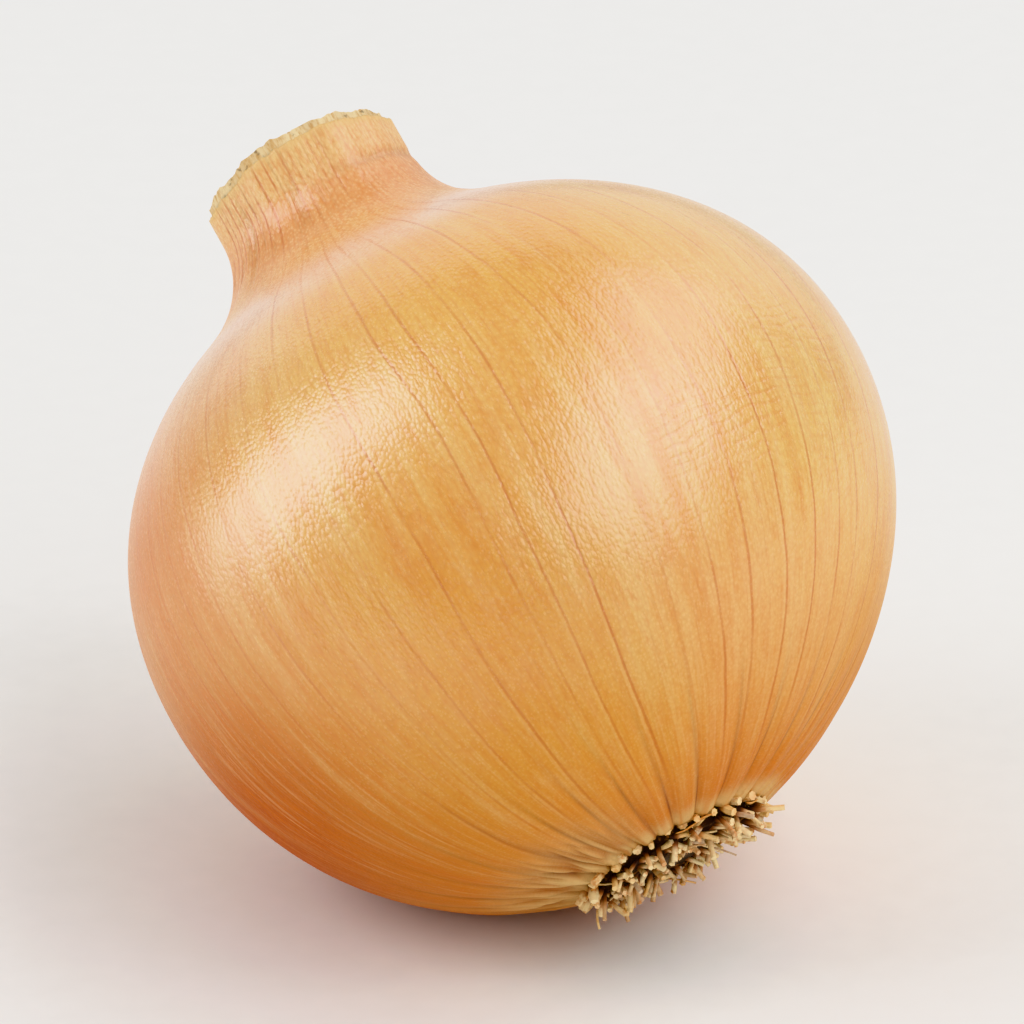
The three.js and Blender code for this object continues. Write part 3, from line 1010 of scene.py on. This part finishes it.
# %% Paths and sweeps
def straight_paths(graph, count, steps):
    """Paths that wait to be bent, with a point's path number and how far along its path it is."""
    points = graph.add("GeometryNodePoints", {}, {"Count": count})
    line = graph.add("GeometryNodeCurvePrimitiveLine")
    stepped = graph.add("GeometryNodeResampleCurve", {}, {"Curve": line, "Count": steps})
    copies = graph.add("GeometryNodeInstanceOnPoints", {}, {"Points": points, "Instance": stepped})
    paths = graph.add("GeometryNodeRealizeInstances", {}, {"Geometry": copies})
    which = graph.add("GeometryNodeCurveOfPoint")
    reach = graph.add("GeometryNodeSplineParameter")
    return paths, which, reach


def chance(graph, which, seed, low, high):
    """A random number between low and high, another one for each path."""
    sockets = {"Min": low, "Max": high, "ID": which, "Seed": seed}
    return graph.add("FunctionNodeRandomValue", {}, sockets)


def swept(graph, paths, section, thickness):
    """A closed tube along every path."""
    sockets = {"Curve": paths, "Profile Curve": section, "Scale": thickness, "Fill Caps": True}
    return graph.add("GeometryNodeCurveToMesh", {}, sockets)


print("path helpers ready")

# %% Tree for roots
STUB_COUNT = 38
STUB_SIZES = {
    "Count": STUB_COUNT,
    "Turn": math.tau / STUB_COUNT,
    "Inner Radius": 8.2 * MM,
    "Outer Radius": 8.4 * MM,
    "Foot Height": RIM_HEIGHT + 0.4 * MM,
    "Shortest": 1.0 * MM,
    "Longest": 2.3 * MM,
    "Thinnest": 0.45 * MM,
    "Thickest": 1.05 * MM,
    "Least Tilt": math.radians(35),
    "Most Tilt": math.radians(70),
    "Stray": math.radians(30),
    "Bow": 0.15,
    "Ridges": 7,
    "Round End": 0.1,
    "Least Tint": 0.45,
    "Most Tint": 0.78,
    "Seed": 3,
}
ROOT_STEPS = 8
DRAWS_PER_SEED = 20
HEADING_JITTER = 0.05
ROOT_RIDGE_RADIUS = 0.52
ROOT_GROOVE_RADIUS = 0.42


def root_tree(material):
    """Roots on a plate. They stand at even turns round the axis, at radii that fill a ring evenly."""
    graph, size = shape_tree("roots", STUB_SIZES)
    paths, which, reach = straight_paths(graph, size["Count"], ROOT_STEPS)

    def draw(number, low=-1.0, high=1.0):
        return chance(graph, which, size["Seed"] * DRAWS_PER_SEED + number, low, high)

    even = which * size["Turn"]
    heading = even - waves(even, PLEAT_DRIFT) / PLEATS + draw(0, -HEADING_JITTER, HEADING_JITTER)
    share = (which + 0.5) / size["Count"]
    inner = size["Inner Radius"] ** 2
    outer = size["Outer Radius"] ** 2
    radius = (inner + (outer - inner) * share).math("SQRT")
    tilt = draw(1, size["Least Tilt"], size["Most Tilt"])
    away = heading + draw(2) * size["Stray"]
    length = draw(3, size["Shortest"], size["Longest"])
    sideways = tilt.math("SINE") * length
    bow = size["Bow"] * length * reach ** 2
    spot = graph.vector(
        heading.math("COSINE") * radius + away.math("COSINE") * sideways * reach + draw(4) * bow,
        heading.math("SINE") * radius + away.math("SINE") * sideways * reach + draw(5) * bow,
        size["Foot Height"] - tilt.math("COSINE") * length * reach + draw(6) * bow,
    )
    placed = graph.add("GeometryNodeSetPosition", {}, {"Geometry": paths, "Position": spot})
    placed = store(graph, placed, "tint", draw(7, size["Least Tint"], size["Most Tint"]))
    placed = store(graph, placed, "reach", reach)
    lumps = graph.noise(graph.vector(which * 5.7, reach * 3, 0), detail=2.0)
    rounded = 1 - size["Round End"] * reach ** 4
    thickness = draw(8, size["Thinnest"], size["Thickest"]) * (0.65 + lumps * 0.7) * rounded
    section = graph.add("GeometryNodeCurveStar", {}, {
        "Points": size["Ridges"],
        "Inner Radius": ROOT_GROOVE_RADIUS,
        "Outer Radius": ROOT_RIDGE_RADIUS,
    })
    finish_tree(graph, swept(graph, placed, section, thickness), material)
    return graph


roots_graph = root_tree(root_straw)
print("tree for roots has", len(STUB_SIZES), "sizes")

# %% Stubs, rootlets and hairs
GOLDEN_TURN = math.tau * (3 - math.sqrt(5)) / 2
SHARP_EDGE = math.radians(75)
ROOTLET_SIZES = {
    "Count": 150,
    "Turn": GOLDEN_TURN,
    "Inner Radius": 2.0 * MM,
    "Outer Radius": 8.0 * MM,
    "Foot Height": PLATE_FACE_HEIGHT + 0.3 * MM,
    "Shortest": 1.8 * MM,
    "Longest": 3.2 * MM,
    "Thinnest": 0.38 * MM,
    "Thickest": 0.6 * MM,
    "Least Tilt": math.radians(30),
    "Most Tilt": math.radians(82),
    "Stray": math.radians(105),
    "Bow": 0.2,
    "Ridges": 5,
    "Round End": 0.0,
    "Least Tint": 0.0,
    "Most Tint": 1.0,
    "Seed": 7,
}
HAIR_SIZES = {
    **ROOTLET_SIZES,
    "Count": 18,
    "Inner Radius": 0.8 * MM,
    "Outer Radius": 7.2 * MM,
    "Foot Height": PLATE_FACE_HEIGHT + 0.2 * MM,
    "Shortest": 3.0 * MM,
    "Longest": 5.5 * MM,
    "Thinnest": 0.16 * MM,
    "Thickest": 0.26 * MM,
    "Least Tilt": math.radians(60),
    "Most Tilt": math.radians(84),
    "Stray": math.radians(120),
    "Bow": 0.35,
    "Seed": 11,
}


def grow_roots(name, sizes):
    roots = run_tree(roots_graph, sizes, name)
    roots.data.set_sharp_from_angle(angle=SHARP_EDGE)
    return lay_down(roots)


root_stubs = grow_roots("root_stubs", STUB_SIZES)
rootlets = grow_roots("rootlets", ROOTLET_SIZES)
root_hairs = grow_roots("root_hairs", HAIR_SIZES)

# %% [markdown]
# ## Torn skin
# Where the skin ends above the roots, narrow strips have torn loose and lie across the stubs. A
# strip follows the rim for a few millimetres, so its path is a curve bent round the axis, and a
# flat section is swept along.

# %% Shreds at the rim
SHRED_SIZES = {
    "Count": 5,
    "Turn": GOLDEN_TURN,
    "First Heading": FRONT_HEADING + 0.1,
    "Span": 0.62,
    "Radius": 9.1 * MM,
    "Height": RIM_HEIGHT - 0.55 * MM,
    "Curl": 0.4 * MM,
    "Width": 0.42 * MM,
    "Seed": 5,
}
SHRED_STEPS = 14
SHRED_FLATNESS = 0.25
SHORTEST_SHARE = 0.5
TORN_AMBER = colour(206, 128, 56)
TORN_STRAW = colour(236, 184, 112)


def tear_shreds(material):
    graph, size = shape_tree("shreds", SHRED_SIZES)
    paths, which, reach = straight_paths(graph, size["Count"], SHRED_STEPS)
    span = chance(graph, which, size["Seed"], SHORTEST_SHARE, 1.0) * size["Span"]
    heading = size["First Heading"] + which * size["Turn"] + reach * span
    curl = graph.noise(graph.vector(which * 7.3, reach * 2, 0), detail=1.0) - 0.5
    sag = graph.noise(graph.vector(which * 3.1, reach * 2, 5), detail=1.0) - 0.5
    radius = size["Radius"] + curl * size["Curl"]
    spot = graph.vector(
        heading.math("COSINE") * radius,
        heading.math("SINE") * radius,
        size["Height"] + sag * size["Curl"] * 2,
    )
    placed = graph.add("GeometryNodeSetPosition", {}, {"Geometry": paths, "Position": spot})
    sockets = {"Width": 1.0, "Height": SHRED_FLATNESS}
    section = graph.add("GeometryNodeCurvePrimitiveQuadrilateral", {}, sockets)
    tapered = 1 - (reach * 2 - 1).math("ABSOLUTE") ** 4 * 0.7
    finish_tree(graph, swept(graph, placed, section, tapered * size["Width"]), material)
    return lay_down(run_tree(graph, SHRED_SIZES, "torn_skin"))


torn_paper, graph, shader = new_finish("torn skin", {"IOR": 1.45})
wear = graph.noise(in_place(graph), scale=900, detail=3.0)
tone = graph.mix(wear.between(0.35, 0.65), TORN_AMBER, TORN_STRAW)
graph.feed(shader, {"Base Color": tone, "Roughness": 0.45 + wear * 0.2})
torn_skin = tear_shreds(torn_paper)

# %% [markdown]
# ## Stage
# A pale floor, four large soft lights and a faint white surround, as in a small studio. A long
# narrow light stands on the left and draws the bright patch there. Two on the right, one high and
# one nearer to the camera, light the front, and the fourth brightens the ground behind. The
# camera stands back with a long lens, so that the near side of the onion isn't swollen.

# %% Floor
FLOOR_SIZE = 6.0
FLOOR_GREY = colour(234, 233, 231)
FLOOR_WHITE = colour(240, 239, 237)

floor_paint, graph, shader = new_finish("pale floor", {"IOR": 1.4})
grain = graph.noise(in_place(graph), scale=300, detail=3.0)
tone = graph.mix(grain, FLOOR_GREY, FLOOR_WHITE)
graph.feed(shader, {"Base Color": tone, "Roughness": 0.7 + grain * 0.1})
half = FLOOR_SIZE / 2
floor_mesh = bpy.data.meshes.new("floor")
floor_corners = [(-half, -half, 0), (half, -half, 0), (half, half, 0), (-half, half, 0)]
floor_mesh.from_pydata(floor_corners, [], [(0, 1, 2, 3)])
floor_mesh.materials.append(floor_paint)
floor = bpy.data.objects.new("floor", floor_mesh)
bpy.context.scene.collection.objects.link(floor)
print("floor", FLOOR_SIZE, "m wide")

# %% Lights
SURROUND_STRENGTH = 0.36
LIGHT_DISTANCE = 0.9

middle = (cad_box[0] + cad_box[1]) / 2
world = bpy.data.worlds.new("surround")
bpy.context.scene.world = world
world.use_nodes = True
background = world.node_tree.nodes["Background"]
Graph(world.node_tree).feed(background, {"Color": (1, 1, 1, 1), "Strength": SURROUND_STRENGTH})


def soft_light(name, direction, long_side, width, length, power):
    """A soft box at a fixed distance that faces the onion, with its length along long_side."""
    light = bpy.data.lights.new(name, "AREA")
    light.shape = "RECTANGLE"
    light.size = width
    light.size_y = length
    light.energy = power
    back = Vector(direction).normalized()
    side = Vector(long_side).cross(back).normalized()
    facing_onion = Matrix((side, back.cross(side), back)).transposed()
    lamp = bpy.data.objects.new(name, light)
    lamp.location = middle + back * LIGHT_DISTANCE
    lamp.rotation_euler = facing_onion.to_euler()
    bpy.context.scene.collection.objects.link(lamp)
    print(name, "gives", power, "W")


soft_light(
    "left_soft_light",
    direction=(-0.89, -0.14, 0.40),
    long_side=(0.5, -0.2, 0.9),
    width=0.40,
    length=1.05,
    power=5.2,
)
soft_light(
    "right_soft_light",
    direction=(0.50, 0.05, 0.80),
    long_side=(-0.1, 1.0, 0.1),
    width=0.6,
    length=0.9,
    power=3.3,
)
soft_light(
    "front_soft_light",
    direction=(0.54, -0.58, 0.56),
    long_side=(0.2, 0.6, 0.6),
    width=0.7,
    length=0.8,
    power=3.65,
)
soft_light(
    "backdrop_glow",
    direction=(0.0, 0.90, 0.45),
    long_side=(1, 0, 0),
    width=0.8,
    length=1.8,
    power=3.0,
)

# %% Camera
CAMERA_ELEVATION = math.radians(25)
CAMERA_DISTANCE = 0.7
FIELD_WIDTH = 92.6 * MM
AIM_ABOVE_MIDDLE = 1.8 * MM
SENSOR_WIDTH = 36.0

camera_data = bpy.data.cameras.new("camera")
camera_data.sensor_width = SENSOR_WIDTH
camera_data.lens = SENSOR_WIDTH * CAMERA_DISTANCE / FIELD_WIDTH
camera = bpy.data.objects.new("camera", camera_data)
toward_camera = Vector((0, -math.cos(CAMERA_ELEVATION), math.sin(CAMERA_ELEVATION)))
picture_up = Vector((0, math.sin(CAMERA_ELEVATION), math.cos(CAMERA_ELEVATION)))
camera.location = middle + picture_up * AIM_ABOVE_MIDDLE + toward_camera * CAMERA_DISTANCE
camera.rotation_euler = toward_camera.to_track_quat("Z", "Y").to_euler()
bpy.context.scene.collection.objects.link(camera)
bpy.context.scene.camera = camera
bpy.context.scene.view_settings.view_transform = "Khronos PBR Neutral"
print("camera lens", round(camera_data.lens), "mm")

# %% [markdown]
# ## Joining the frame
# Every piece rides on the onion's one body, and the solid that it replaces is hidden.

# %% Ride and hide
for node, slot, pieces in (
    ("bulb", "skin", (bulb_skin, neck_sheaths)),
    ("root_tuft", "root", (root_plate, root_stubs, rootlets, root_hairs, torn_skin)),
):
    for piece in pieces:
        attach(piece, "root")
        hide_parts(node)
